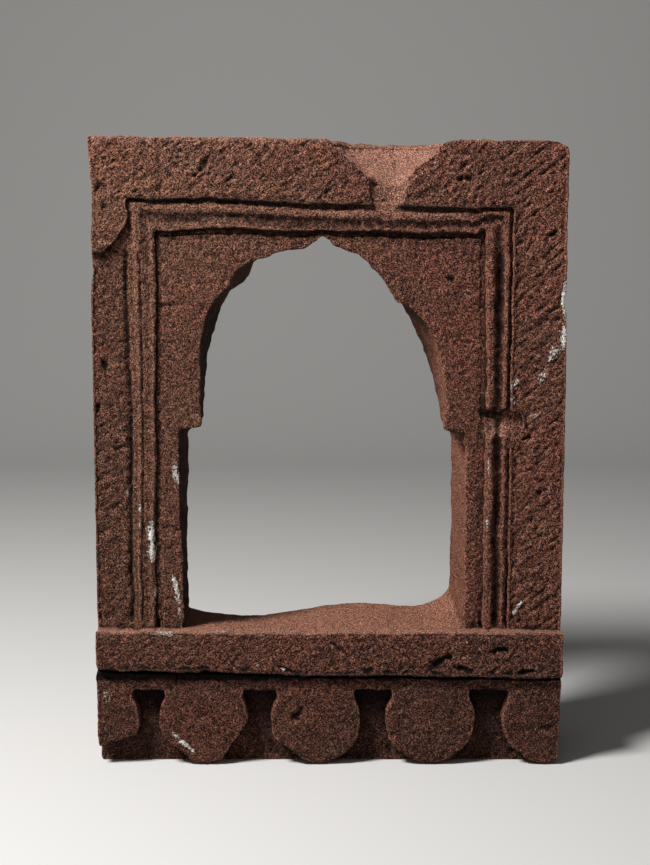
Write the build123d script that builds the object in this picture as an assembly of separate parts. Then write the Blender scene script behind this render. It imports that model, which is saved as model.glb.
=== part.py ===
"""A small arched window frame, or niche front, carved from one block of red sandstone.

The block is a slab with a flat border, a moulding of two beads round three sides, a sunken panel cut
through by a cusped arch, and below the sill a square ledge over a row of round bosses. It has old
losses: a flake struck out of the top, a split left border, a broken moulding and broken bosses. +Z is
up, the carved face looks along -Y, and the origin is at the middle of the underside. Millimetres.
"""
import os
from math import radians, tan

from build123d import *

# The block
WIDTH = 300.0
HEIGHT = 402.0
SLAB_DEPTH = 75.0            # from the border's face to the back
ARRIS_WEAR = 2.0             # rounding of the long outer edges
TOP_CORNER_WEAR = 9.0        # rounding of the top right corner, seen from the front
TOP_FALL = 3.0               # how much lower the top is at the right end

# The ledge, the fillet under it and the row of bosses
LEDGE_PROJECTION = 15.0      # ahead of the border's face
LEDGE_HEIGHT = 24.0          # at its left end
LEDGE_SPREAD = 4.5           # how much deeper the ledge is at its right end
LEDGE_EDGE_WEAR = 1.8
BOSS_RADIUS = 28.6
BOSS_FOOT = 1.0              # from the underside of the stone up to the lowest point of a boss
BOSS_TO_LEDGE = 4.3          # from the top of a boss up to the ledge, at the left end
BOSS_SETBACK = 4.0           # the bosses' faces behind the ledge's face
BOSS_EDGE_WEAR = 1.4
BOSS_NECK = 49.0             # width of the neck that joins a boss to the fillet
FIRST_BOSS_OUT = 1.5         # how far the first boss's centre lies outside the left side
BOSS_PITCH = 70.8
PITCH_GROWTH = 1.4           # the mason's spacing grew by this from boss to boss
FILLET_SETBACK = 5.0         # the fillet's face behind the ledge's face
FILLET_FOOT = 50.0           # height of the fillet's lower edge
UNDERCUT_HEIGHT = 2.6        # the groove between ledge and fillet
UNDERCUT_DEPTH = 3.0

# The border and the mouldings, each measured inwards from the outside of the stone
LEFT_BORDER = 23.0
RIGHT_BORDER = 34.1
TOP_BORDER_LEFT = 39.4
TOP_BORDER_RIGHT = 45.2
PANEL_SINK = 4.0             # the panel's face behind the border's face
OUTER_GROOVE = 1.6           # widths across the moulding, from the border to the panel
OUTER_BEAD = 5.4
COVE = 2.6
INNER_BEAD = 6.2
INNER_GROOVE = 2.2
OUTER_GROOVE_DEPTH = 3.8     # depths behind the border's face
BEAD_TOP_DEPTH = 1.0
COVE_DEPTH = 3.2
INNER_BEAD_DEPTH = 4.8       # where the inner bead drops into its groove
INNER_GROOVE_DEPTH = 5.8

# The opening
LEFT_STRIP = 13.6            # panel left standing beside the opening, below the springing
RIGHT_STRIP = 10.6
JAMB_HEIGHT = 131.0          # from the sill to the springing
LEFT_SHOULDER = 15.0         # how far the arch steps in over each jamb
RIGHT_SHOULDER = 14.2
SHOULDER_FALL = 1.5          # the shoulders' undersides slope by this
TIP_GAP = 2.0                # between the arch's point and the moulding over it
LEFT_SPLAY = 1.0             # how far the opening in the back lies outside the left jamb
RIGHT_SPLAY = 4.5            # how far it lies inside the right jamb
BACK_SHOULDER_LOSS = 4.0     # how much shorter each shoulder is at the back
BACK_SHOULDER_DROP = 11.0    # how much lower the shoulders are at the back
BACK_TIP_RISE = 6.0          # how much higher the arch is at the back
SILL_FALL = 4.0              # the sill falls by this to the back at its left end
SILL_HOLLOW = 9.0            # and by this where it is worn lowest
CORNER_LEFT_IN = 10.0        # the back right corner of the sill was never squared

# The larger losses
SPALL_DEPTH = 3.2            # the left border has split away below its top corner
# The split's upper edge: in from the left side, and down from the moulding's top line
SPALL_EDGE = [(0.0, 33.5), (7.0, 32.5), (12.5, 29.5), (18.0, 22.5), (22.0, 15.5), (LEFT_BORDER, 8.0)]
SCAR_FROM_RIGHT = 113.5      # the flake scar in the top: its lowest point, measured from the right side
SCAR_HEIGHT = 34.0
SCAR_HALF_ANGLE = 49.0
SCAR_LEAN = 12.0             # the cone of the scar leans back by this, in degrees
CHUTE_WIDTH = 22.0           # the worn hollow that runs on from the scar over the moulding
CHUTE_HEIGHT = 70.0
CHUTE_DEPTH = 5.2
CHUTE_RISE = 16.0            # its middle lies above the scar's lowest point by this
BREAK_WIDTH = 27.0           # the piece missing from the right moulding
BREAK_HEIGHT = 26.0
BREAK_DEPTH = 6.0
BREAK_LEAN = 18.0            # the break is steep above and shallow below
BREAK_OUT = 3.0              # its middle lies outside the moulding's middle by this
BREAK_RISE = 3.5             # and above the springing by this
# The upper edge of the break in the half boss: in from the left side, and height
HALF_BOSS_BREAK = [(0.0, 12.5), (24.3, 19.5)]
# Breaks at the feet of two whole bosses, from and to: sideways from the boss's centre, and height.
# The second boss is broken to a point, and the third is flattened on one side.
SECOND_BOSS_BREAKS = [
    ((-BOSS_RADIUS, 21.5), (-4.0, 0.0)),
    ((BOSS_RADIUS, 30.0), (9.5, 1.5)),
]
THIRD_BOSS_BREAKS = [((-BOSS_RADIUS, 19.5), (-3.5, 1.0))]

CUT_MARGIN = 2.0             # cutting tools reach this far past what they cut

# Levels and faces that follow
moulding_width = OUTER_GROOVE + OUTER_BEAD + COVE + INNER_BEAD + INNER_GROOVE
depth = SLAB_DEPTH + LEDGE_PROJECTION
left, right = -WIDTH / 2, WIDTH / 2
ledge_face = -depth / 2
border_face = ledge_face + LEDGE_PROJECTION
panel_face = border_face + PANEL_SINK
boss_face = ledge_face + BOSS_SETBACK
fillet_face = ledge_face + FILLET_SETBACK
back_face = depth / 2
boss_level = BOSS_FOOT + BOSS_RADIUS
ledge_foot = boss_level + BOSS_RADIUS + BOSS_TO_LEDGE
sill = ledge_foot + LEDGE_HEIGHT
springing = sill + JAMB_HEIGHT
jamb_left = left + LEFT_BORDER + moulding_width + LEFT_STRIP
jamb_right = right - RIGHT_BORDER - moulding_width - RIGHT_STRIP
arch_left = jamb_left + LEFT_SHOULDER
arch_right = jamb_right - RIGHT_SHOULDER
axis_x = (arch_left + arch_right) / 2


def top_border_at(x):
    """Height of the outer moulding's top line, which falls a little to the right."""
    run = (x - left - LEFT_BORDER) / (WIDTH - LEFT_BORDER - RIGHT_BORDER)
    return HEIGHT - TOP_BORDER_LEFT - run * (TOP_BORDER_RIGHT - TOP_BORDER_LEFT)


arch_tip = top_border_at(axis_x) - moulding_width - TIP_GAP


def front_plane(y):
    """A drawing plane at depth y whose x and y are the stone's X and Z, seen from the front."""
    return Plane(origin=(0, y, 0), x_dir=(1, 0, 0), z_dir=(0, -1, 0))


def plate(outline, front, back):
    """A flat piece with the given front outline, between two depths."""
    return extrude(front_plane(back) * make_face(outline), amount=back - front)


def slab():
    """The plain block behind all the carving, with its worn outer edges."""
    outline = Polyline((left, 0), (right, 0), (right, HEIGHT - TOP_FALL), (left, HEIGHT), close=True)
    face = make_face(outline)
    corner = face.vertices().sort_by(Axis.Y)[-2:].sort_by(Axis.X)[-1]
    face = fillet(corner, TOP_CORNER_WEAR)
    block = extrude(front_plane(back_face) * face, amount=SLAB_DEPTH)
    foot = block.edges().filter_by_position(Axis.Z, -0.1, 0.1)
    long_edges = block.edges().filter_by(Axis.Y, reverse=True) - foot
    standing_edges = block.edges().filter_by(Axis.Z)
    return fillet(ShapeList(set(long_edges + standing_edges)), ARRIS_WEAR)


def ledge():
    """The square string course, a little deeper at its right end."""
    foot_left, foot_right = (left, ledge_foot), (right, ledge_foot - LEDGE_SPREAD)
    outline = Polyline(foot_left, foot_right, (right, sill), (left, sill), close=True)
    band = plate(outline.edges(), ledge_face, panel_face)
    front = band.faces().sort_by(Axis.Y)[0]
    return fillet(front.edges(), LEDGE_EDGE_WEAR)


def fillet_band():
    """The flat fillet that joins the tops of the bosses under the ledge."""
    foot_left, foot_right = (left, FILLET_FOOT), (right, FILLET_FOOT)
    outline = Polyline(foot_left, foot_right, (right, ledge_foot), (left, ledge_foot), close=True)
    return plate(outline.edges(), fillet_face, panel_face)


def boss_centres():
    """Where the bosses stand along the stone; the first and last are cut by its sides."""
    centre, step = left - FIRST_BOSS_OUT, BOSS_PITCH
    while centre < right + BOSS_RADIUS / 2:
        yield centre
        centre += step
        step += PITCH_GROWTH


def bosses():
    """The row of round bosses, kept between the stone's two sides."""
    reach = panel_face - boss_face
    rise = FILLET_FOOT - boss_level
    neck = Pos(0, rise / 2) * Rectangle(BOSS_NECK, rise)
    outline = Pos(0, boss_level) * (Circle(BOSS_RADIUS) + neck)
    one = extrude(front_plane(panel_face) * outline, amount=reach)
    one = chamfer(one.faces().sort_by(Axis.Y)[0].edges(), BOSS_EDGE_WEAR)
    row = Part() + [Pos(x, 0, 0) * one for x in boss_centres()]
    keep = Pos(0, (boss_face + panel_face) / 2, boss_level) * Box(WIDTH, 2 * reach, 4 * BOSS_RADIUS)
    return row & keep


def below(start, end):
    """What lies in front of the border's face and under a straight break, between its two ends."""
    outline = Polyline(start, end, (end[0], -CUT_MARGIN), (start[0], -CUT_MARGIN), close=True)
    return plate(outline.edges(), boss_face - CUT_MARGIN, border_face)


def boss_breaks():
    """The broken foot of the half boss on the left, and the breaks at the feet of whole ones."""
    half_start, half_end = [(left + inwards, height) for inwards, height in HALF_BOSS_BREAK]
    breaks = below(half_start, half_end) + below(half_end, (left + BOSS_RADIUS, half_end[1]))
    breaks += below((left - CUT_MARGIN, half_start[1]), half_start)
    second, third = list(boss_centres())[1:3]
    for centre, foot_breaks in ((second, SECOND_BOSS_BREAKS), (third, THIRD_BOSS_BREAKS)):
        for side, foot in foot_breaks:
            breaks += below((centre + side[0], side[1]), (centre + foot[0], foot[1]))
    return breaks


def undercut():
    """The groove that parts the ledge from the fillet."""
    x0, x1 = left - CUT_MARGIN, right + CUT_MARGIN
    low_left, low_right = ledge_foot, ledge_foot - LEDGE_SPREAD
    outline = Polyline(
        (x0, low_left),
        (x1, low_right),
        (x1, low_right - UNDERCUT_HEIGHT),
        (x0, low_left - UNDERCUT_HEIGHT),
        close=True,
    )
    return plate(outline.edges(), ledge_face - CUT_MARGIN, fillet_face + UNDERCUT_DEPTH)


def moulding_cut():
    """What is cut away in front of the two beads, mitred at the top corners."""
    front = -CUT_MARGIN
    groove_end = OUTER_GROOVE
    bead_end = groove_end + OUTER_BEAD
    cove_end = bead_end + COVE
    inner_end = cove_end + INNER_BEAD
    outer_crest = ((groove_end + bead_end) / 2, BEAD_TOP_DEPTH)
    inner_crest = ((cove_end + inner_end) / 2, BEAD_TOP_DEPTH)
    line = [
        Line((0, front), (0, OUTER_GROOVE_DEPTH)),
        Line((0, OUTER_GROOVE_DEPTH), (groove_end, OUTER_GROOVE_DEPTH)),
        ThreePointArc((groove_end, OUTER_GROOVE_DEPTH), outer_crest, (bead_end, COVE_DEPTH)),
        Line((bead_end, COVE_DEPTH), (cove_end, COVE_DEPTH)),
        ThreePointArc((cove_end, COVE_DEPTH), inner_crest, (inner_end, INNER_BEAD_DEPTH)),
        Line((inner_end, INNER_BEAD_DEPTH), (inner_end, INNER_GROOVE_DEPTH)),
        Line((inner_end, INNER_GROOVE_DEPTH), (moulding_width, INNER_GROOVE_DEPTH)),
        Line((moulding_width, INNER_GROOVE_DEPTH), (moulding_width, front)),
        Line((moulding_width, front), (0, front)),
    ]
    left_line, right_line = left + LEFT_BORDER, right - RIGHT_BORDER
    path = Polyline(
        (left_line, border_face, sill),
        (left_line, border_face, top_border_at(left_line)),
        (right_line, border_face, top_border_at(right_line)),
        (right_line, border_face, sill),
    )
    start = Plane(origin=(left_line, border_face, sill), x_dir=(1, 0, 0), z_dir=(0, 0, 1))
    section = start * make_face(line)
    return sweep(section, path=path, transition=Transition.RIGHT)


def panel_cut():
    """What is cut away in front of the sunken panel, inside the mouldings."""
    inset = moulding_width - INNER_GROOVE / 2
    x0, x1 = left + LEFT_BORDER + inset, right - RIGHT_BORDER - inset
    top_left, top_right = (x0, top_border_at(x0) - inset), (x1, top_border_at(x1) - inset)
    outline = Polyline((x0, sill), (x1, sill), top_right, top_left, close=True)
    return plate(outline.edges(), border_face - CUT_MARGIN, panel_face)


def arch_point(share_x, share_z):
    """A point of the arch: a share of the half span from the axis, and of the rise from the springing."""
    half = arch_right - axis_x
    return axis_x + share_x * half, springing + share_z * (arch_tip - springing)


def front_outline():
    """The cusped arch on the panel's face. Each foil is a curve between two cusps; the point is an ogee."""
    foot_left, foot_right = (arch_left, springing), (arch_right, springing)
    low_cusp, cusp_top = arch_point(-0.765, 0.735), arch_point(-0.735, 0.785)
    mid_cusp = arch_point(-0.54, 0.868)
    worn_cusp, cusp_foot = arch_point(0.59, 0.65), arch_point(0.655, 0.64)
    ogee_left, tip, ogee_right = arch_point(-0.16, 0.925), (axis_x, arch_tip), arch_point(0.10, 0.925)
    return [
        Line((jamb_left, sill), (jamb_left, springing - SHOULDER_FALL)),
        Line((jamb_left, springing - SHOULDER_FALL), foot_left),
        Spline(foot_left, arch_point(-1.005, 0.3), arch_point(-0.925, 0.61), low_cusp),
        Line(low_cusp, cusp_top),
        ThreePointArc(cusp_top, arch_point(-0.645, 0.84), mid_cusp),
        ThreePointArc(mid_cusp, arch_point(-0.35, 0.905), ogee_left),
        ThreePointArc(ogee_left, arch_point(-0.06, 0.955), tip),
        ThreePointArc(tip, arch_point(0.035, 0.955), ogee_right),
        Spline(ogee_right, arch_point(0.26, 0.893), arch_point(0.45, 0.79), worn_cusp),
        Line(worn_cusp, cusp_foot),
        Spline(cusp_foot, arch_point(0.845, 0.53), arch_point(0.96, 0.35), foot_right),
        Line(foot_right, (jamb_right, springing - SHOULDER_FALL)),
        Line((jamb_right, springing - SHOULDER_FALL), (jamb_right, sill)),
        Line((jamb_right, sill), (jamb_left, sill)),
    ]


def back_outline():
    """The plainer opening in the back: a roughly cut pointed arch with hardly any shoulders."""
    jamb_l, jamb_r = jamb_left - LEFT_SPLAY, jamb_right - RIGHT_SPLAY
    foot_left = (arch_left - BACK_SHOULDER_LOSS, springing)
    foot_right = (arch_right + BACK_SHOULDER_LOSS, springing)
    shoulder = springing - BACK_SHOULDER_DROP
    haunch_left, haunch_low = arch_point(-0.81, 0.69), arch_point(-0.695, 0.728)
    haunch_mid = arch_point(-0.605, 0.84)
    haunch_top, haunch_right = arch_point(0.62, 0.67), arch_point(0.69, 0.60)
    crown_left, crown_right = arch_point(-0.18, 0.985), arch_point(0.16, 0.985)
    tip = (axis_x, arch_tip + BACK_TIP_RISE)
    corner_left = (jamb_l, sill - SILL_FALL)
    corner_right = (jamb_r, sill + CORNER_LEFT_IN)
    width = jamb_r - jamb_l
    return [
        Line(corner_left, (jamb_l, shoulder)),
        Line((jamb_l, shoulder), foot_left),
        Spline(foot_left, arch_point(-1.035, 0.2), arch_point(-0.975, 0.42), haunch_left),
        Line(haunch_left, haunch_low),
        ThreePointArc(haunch_low, arch_point(-0.64, 0.775), haunch_mid),
        ThreePointArc(haunch_mid, arch_point(-0.40, 0.92), crown_left),
        ThreePointArc(crown_left, arch_point(-0.09, 1.015), tip),
        ThreePointArc(tip, arch_point(0.08, 1.015), crown_right),
        Spline(crown_right, arch_point(0.32, 0.91), arch_point(0.50, 0.79), haunch_top),
        Line(haunch_top, haunch_right),
        Spline(haunch_right, arch_point(0.82, 0.43), arch_point(0.94, 0.22), foot_right),
        Line(foot_right, (jamb_r, shoulder)),
        Line((jamb_r, shoulder), corner_right),
        Spline(
            corner_right,
            (jamb_l + 0.93 * width, sill),
            (jamb_l + 0.72 * width, sill - 0.1 * SILL_FALL),
            (jamb_l + 0.25 * width, sill - SILL_HOLLOW),
            corner_left,
        ),
    ]


def opening():
    """The whole opening, ruled from the cusped outline in the panel to the plain one in the back."""
    front = front_plane(panel_face) * make_face(front_outline())
    back = front_plane(back_face + CUT_MARGIN) * make_face(back_outline())
    return loft([front, back], ruled=True)


def spall():
    """The split face of the left border, from the break under the top corner down to the ledge."""
    top = top_border_at(left + LEFT_BORDER)
    edge = [(left + inwards, top - down) for inwards, down in SPALL_EDGE]
    outside = left - CUT_MARGIN
    outline = Polyline((outside, edge[0][1]), *edge, (edge[-1][0], sill), (outside, sill), close=True)
    return plate(outline.edges(), border_face - CUT_MARGIN, border_face + SPALL_DEPTH)


def flake_scar():
    """The cone-shaped scar struck out of the top, which reaches most of the way to the back."""
    reach = 2 * SCAR_HEIGHT
    mouth = reach * tan(radians(SCAR_HALF_ANGLE))
    cone = Cone(0, mouth, reach, align=(Align.CENTER, Align.CENTER, Align.MIN))
    lowest = Pos(right - SCAR_FROM_RIGHT, border_face, HEIGHT - SCAR_HEIGHT)
    return lowest * Rot(-SCAR_LEAN, 0, 0) * cone


def hollow(width, depth, height):
    """An egg-shaped tool whose middle lies in the face that it hollows out."""
    return scale(Sphere(1.0), by=(width / 2, depth, height / 2))


def worn_chute():
    """The mouldings are worn flat where the scar runs out over them."""
    tool = hollow(CHUTE_WIDTH, CHUTE_DEPTH, CHUTE_HEIGHT)
    return Pos(right - SCAR_FROM_RIGHT, border_face, HEIGHT - SCAR_HEIGHT + CHUTE_RISE) * tool


def moulding_break():
    """The piece missing from the right-hand moulding at the level of the springing."""
    x = right - RIGHT_BORDER - moulding_width / 2 + BREAK_OUT
    tool = hollow(BREAK_WIDTH, BREAK_DEPTH, BREAK_HEIGHT)
    return Pos(x, border_face, springing + BREAK_RISE) * Rot(-BREAK_LEAN, 0, 0) * tool


def carved_stone():
    """The finished block."""
    stone = slab() + ledge() + fillet_band() + bosses()
    for tool in (panel_cut(), moulding_cut(), opening(), undercut(), boss_breaks()):
        stone -= tool
    for loss in (spall(), flake_scar(), worn_chute(), moulding_break()):
        stone -= loss
    return stone


os.makedirs("parts", exist_ok=True)
stone = carved_stone()
export_step(stone, "parts/carved_stone.step")
print("volume in litres", round(stone.volume / 1e6, 3))
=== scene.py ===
"""The looks of the carved sandstone niche frame: its tooled and worn surface, its colour, and the light.

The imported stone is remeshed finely. Its cut lines are made a little uneven, its arrises are worn, its faces
are roughened by noise, and pits and chips are sunk where the photograph shows them. The finest grain comes
from the material. The frame's lengths are metres, and the shaping works in millimetres in the same frame:
x to the right, y to the back and z upwards.
"""
import math

import bpy
import numpy as np
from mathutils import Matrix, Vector


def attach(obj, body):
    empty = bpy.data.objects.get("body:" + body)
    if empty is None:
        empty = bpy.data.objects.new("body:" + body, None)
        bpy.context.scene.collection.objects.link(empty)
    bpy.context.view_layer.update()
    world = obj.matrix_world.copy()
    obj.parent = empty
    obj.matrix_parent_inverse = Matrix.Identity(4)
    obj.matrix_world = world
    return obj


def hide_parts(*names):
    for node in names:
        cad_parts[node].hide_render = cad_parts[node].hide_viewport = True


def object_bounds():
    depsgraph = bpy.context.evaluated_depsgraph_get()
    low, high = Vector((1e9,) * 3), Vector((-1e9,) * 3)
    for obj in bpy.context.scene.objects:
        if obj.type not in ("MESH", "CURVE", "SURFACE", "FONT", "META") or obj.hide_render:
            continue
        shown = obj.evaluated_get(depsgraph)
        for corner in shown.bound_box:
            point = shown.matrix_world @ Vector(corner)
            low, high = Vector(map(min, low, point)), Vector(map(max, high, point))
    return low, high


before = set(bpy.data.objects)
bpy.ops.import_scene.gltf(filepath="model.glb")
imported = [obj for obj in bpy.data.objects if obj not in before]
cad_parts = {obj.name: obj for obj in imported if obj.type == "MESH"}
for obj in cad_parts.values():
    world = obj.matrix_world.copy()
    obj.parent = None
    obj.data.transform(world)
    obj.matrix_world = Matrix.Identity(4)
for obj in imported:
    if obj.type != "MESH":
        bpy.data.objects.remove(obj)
CAD_LOW, CAD_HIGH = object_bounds()

MM = 0.001
LOW = np.array(CAD_LOW) / MM
HIGH = np.array(CAD_HIGH) / MM

# The stone's faces and levels, in millimetres
BORDER_FACE = -30.0
PANEL_FACE = -26.0
LEDGE_BACK = -37.0           # ahead of this are only the ledge, the fillet and the bosses
SILL = 86.5                  # the ledge's top
LEDGE_FOOT = 62.5
BOSS_TOP = 58.0
ARCH_TOP = 350.0
OPENING_LEFT = -112.0
OPENING_RIGHT = 104.0
MOULDING_LEFT = -127.0       # the outer edge of the left moulding
MOULDING_RIGHT = 117.0
SCAR_X = 34.0                # the middle of the flake scar in the top
SCAR_Z = 384.0
BREAK_X = 106.0              # the middle of the break in the right moulding
BREAK_REACH = 8.0            # how far behind the border's face the break's own colours go

# How far the sides stand in from the block's straight edges: level, at the left, at the right
SIDE_INSETS = [
    (0, 2.0, 2.4),
    (30, 1.2, 1.4),
    (58, 0.8, 0.9),
    (66, 1.3, 0.9),
    (86, 1.0, 0.7),
    (94, 0.0, 0.0),
    (262, 0.0, 0.0),
    (288, 0.0, 0.8),
    (297, 0.1, 2.0),
    (306, 0.4, 1.2),
    (321, 1.6, 0.8),
    (340, 1.3, 1.2),
    (366, 2.4, 1.2),
    (385, 1.0, 1.1),
    (397, 0.2, 0.9),
    (402, 0.6, 1.4),
]

# The moulding's packed lines: across for the two legs, and up for the run over the arch
LEFT_OUTER, LEFT_MIDDLE, LEFT_INNER = -128.3, -121.5, -111.3
RIGHT_INNER, RIGHT_BEAD, RIGHT_COVE, RIGHT_OUTER = 97.4, 100.9, 104.8, 113.5
TOP_INNER, TOP_MIDDLE = 348.1, 357.5

# How far the left leg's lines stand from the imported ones: level, outer, middle, inner line
LEFT_LEG = [
    (88, 2.2, 2.8, 0.0),
    (132, 1.8, 3.0, 0.2),
    (222, 3.0, 5.2, 2.0),
    (296, 0.6, 4.4, 3.4),
    (350, 0.0, 3.0, 3.5),
]

# How far the bead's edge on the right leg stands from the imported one, by level, and how far the top
# run's inner line does, from left to right
RIGHT_LEG = [(88, -1.3), (150, -1.3), (271, -1.6), (316, -3.5), (350, -3.5)]
TOP_RUN = [
    (-122, 0.0),
    (-113, -6.2),
    (-104, -6.8),
    (-92, -5.4),
    (-75, -3.4),
    (-55, -3.8),
    (-35, -5.2),
    (-12, -5.4),
    (5, -5.2),
    (30, -4.2),
    (92, -4.0),
    (99, 0.0),
]

# Lines cut deeper on the legs: line, shift, half width, depth, how much that varies, cell along it, seed
LEG_LINES = [
    (LEFT_OUTER, 0.0, 1.7, 2.3, 0.9, 14.0, 70),
    (LEFT_MIDDLE, 0.0, 1.8, 2.3, 0.9, 11.0, 71),
    (RIGHT_COVE, 3.0, 1.6, 1.7, 0.7, 12.0, 77),
]

# The mesh
VOXEL = 0.8
TRIANGLES = 196000
THINNING_BY_LENGTH = 5e-4    # how much an edge's length counts against its shape when the mesh is thinned
SOFT_EDGE = 0.5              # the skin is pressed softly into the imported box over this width
LIME_THICKNESS = 0.28

# The noise
LATTICE = 64                 # random values along each side of the block that it reads
SEED_STEP = 17.3             # keeps the patterns of two seeds apart
FINER = 2.1                  # each layer's cells are this much smaller than the last one's
LAYERED_GAIN = 1.4           # brings a sum of layers back to about -1 to 1
TOOLING_SLANT = 38           # degrees; the point's strokes run up to the right

# Pits and chips in the carved face: across, up, half length, half width, depth, turn in degrees
PITS = [
    (-79, 382, 8.0, 2.6, 2.0, 47),
    (-83, 377.5, 2.6, 2.0, 2.8, 20),
    (85, 374.5, 8.5, 2.6, 2.4, 2),
    (85, 383, 2.2, 1.9, 1.4, 0),
    (140, 340.5, 3.8, 2.4, 2.0, 8),
    (77, 312, 2.6, 2.3, 2.2, 0),
    (-142, 258.5, 6.2, 3.4, 2.6, 75),
    (-147, 231, 3.8, 2.6, 2.6, 80),
    (-19.5, 34, 5.0, 3.4, 2.6, 45),
    (109, 77, 6.4, 3.0, 4.2, 4),
    (72, 70, 9.0, 4.4, 3.8, 28),
    (84, 65.5, 6.0, 2.8, 3.0, -12),
    (128, 63, 7.5, 1.8, 2.4, 3),
    (7, 78, 7.0, 2.0, 1.5, -35),
    (-142, 370, 6.5, 4.2, 1.8, 20),
    (140, 25, 6.0, 2.6, 2.0, 5),
    (-81, 33, 4.6, 2.0, 1.4, 25),
    (-79, 64.5, 4.4, 1.9, 2.6, 8),
    (-28, 64.5, 4.8, 2.0, 2.6, -6),
    (-118, 65, 3.4, 1.4, 1.8, 0),
    (-101, 296, 8.0, 2.6, 1.3, 3),
    (-136, 396, 6.0, 3.5, 1.6, 0),
    (-61, 375, 6.0, 1.5, 0.9, 40),
    (12, 373, 6.0, 2.0, 1.2, 50),
    (-97, 151.5, 3.5, 1.6, 1.6, 10),
    (-36, 8, 8.0, 5.0, 2.2, -35),
    (38, 8, 4.5, 3.0, 1.6, -40),
    (122, 6, 6.0, 3.5, 1.6, 20),
    (-140, 166, 7.0, 2.2, 1.5, 25),
    (-133, 205, 6.0, 2.0, 1.2, 15),
    (147, 300, 7.0, 2.0, 1.4, 90),
    (60, 392, 6.0, 2.4, 1.2, 40),
    (22, 378.5, 4.5, 3.0, 1.8, -15),
    (30, 372.5, 3.4, 2.6, 1.5, 10),
    (-139, 340.5, 7.0, 3.0, 1.2, 10),
    (102, 229.5, 4.6, 2.4, 1.7, 10),
    (104, 226.5, 7.5, 2.2, 2.0, -4),
    (111, 228, 3.4, 2.0, 2.0, 10),
]

# Old lime on the stone: across, up, half width, half height, strength, turn in degrees
LIME = [
    (-113.8, 150, 2.8, 9, 0.9, 0),
    (-113.6, 138, 3.0, 8, 1.0, 0),
    (-99.4, 116, 2.0, 6, 1.0, 12),
    (-97.8, 108, 2.0, 6, 0.95, 8),
    (-96.6, 98, 1.4, 6, 0.75, 5),
    (-98, 189, 2.8, 8, 0.8, 5),
    (-128.7, 176, 1.3, 3.6, 0.7, 0),
    (-121.6, 166, 1.5, 4, 0.7, 0),
    (-121.0, 155, 1.2, 3.2, 0.7, 0),
    (-111.8, 112, 1.3, 4.5, 0.8, 0),
    (-104.0, 88.2, 9, 1.7, 0.72, 0),
    (-69.7, 88.2, 7, 1.2, 0.62, 0),
    (148.6, 300, 1.8, 13, 1.0, 0),
    (148.0, 276, 2.1, 9, 0.9, 0),
    (142.0, 266, 4.2, 8, 0.66, -30),
    (135.5, 252, 4.0, 6.5, 0.58, -30),
    (130, 226, 4.2, 2.4, 0.55, 0),
    (117.2, 246, 3.2, 6, 0.62, -15),
    (116.4, 236, 2.2, 4, 0.55, 0),
    (101.5, 193, 1.5, 5.5, 0.7, 0),
    (101.2, 183, 1.2, 3.5, 0.55, 0),
    (101, 157.5, 1.4, 6.5, 0.6, 0),
    (122.2, 102.4, 1.8, 4.2, 1.0, -30),
    (119.6, 98.2, 1.8, 2.6, 0.95, -30),
    (-98.6, 19.6, 3.0, 1.8, 0.9, -40),
    (-93.6, 14.6, 4.6, 2.0, 1.0, -40),
    (-88.6, 10.2, 4.0, 1.7, 0.85, -40),
    (-142.5, 46, 4.5, 4.5, 0.5, 0),
    (-125.7, 67.4, 1.3, 1.3, 0.75, 0),
    (-58, 66.7, 1.2, 1.2, 0.75, 0),
    (-45.4, 67.4, 1.5, 1.2, 0.85, 0),
    (-29, 64.4, 2.6, 1.2, 0.75, 0),
    (2, 79.6, 1.5, 1.2, 0.8, 0),
    (79.5, 79.0, 2.0, 1.1, 0.8, 0),
    (87.4, 82.0, 2.6, 0.9, 0.7, 20),
    (106, 84.6, 1.3, 1.0, 0.6, 0),
    (66, 383, 4.0, 2.2, 0.5, 50),
    (58, 378, 2.4, 1.8, 0.45, 0),
    (12, 386, 2.2, 1.6, 0.5, 0),
]

# Small spots where the crust is gone and paler, more orange stone shows: across, up, half width, half height
FRESH = [
    (-34, 369.0, 6.5, 2.6),
    (-40, 365.5, 4.0, 2.4),
    (-8, 393, 6, 4),
    (-3, 385, 4, 5),
    (-27, 71, 4, 2.6),
    (-30, 66, 1.8, 2.0),
    (42, 17, 2.6, 3.0),
    (-81, 6, 3, 3.4),
    (-138, 334, 3.6, 2.6),
]


def lattice(seed):
    """A block of random values that noise() reads, repeated in every direction."""
    shape = (LATTICE, LATTICE, LATTICE)
    return np.random.default_rng(seed).uniform(-1.0, 1.0, shape).astype(np.float32)


def noise(points, cell, seed):
    """Smooth value noise from -1 to 1, with cells of the given size or sizes in millimetres."""
    block = lattice(seed)
    p = points / np.asarray(cell, dtype=np.float32) + SEED_STEP * seed
    base = np.floor(p).astype(np.int64)
    t = (p - base).astype(np.float32)
    t = t * t * (3.0 - 2.0 * t)
    low, high = base % LATTICE, (base + 1) % LATTICE
    total = np.zeros(len(p), dtype=np.float32)
    for corner in range(8):
        step = (corner & 1, corner >> 1 & 1, corner >> 2 & 1)
        i, j, k = [high[:, n] if s else low[:, n] for n, s in enumerate(step)]
        wx, wy, wz = [t[:, n] if s else 1.0 - t[:, n] for n, s in enumerate(step)]
        total += wx * wy * wz * block[i, j, k]
    return total


def layered(points, cell, seed, layers=3):
    """Noise with finer and weaker layers added, still about -1 to 1."""
    total, strength, whole = 0.0, 1.0, 0.0
    for n in range(layers):
        total = total + strength * noise(points, np.asarray(cell) / FINER ** n, seed + n)
        whole += strength
        strength *= 0.5
    return total / whole * LAYERED_GAIN


def ramp(value, start, end):
    """0 at start and 1 at end, smooth between them, whichever is larger."""
    t = np.clip((value - start) / (end - start), 0.0, 1.0)
    return t * t * (3.0 - 2.0 * t)


def peak(value, start, middle, end):
    """1 in the middle, and straight down to 0 at start and end."""
    return np.interp(value, [start, middle, end], [0, 1, 0])


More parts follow.
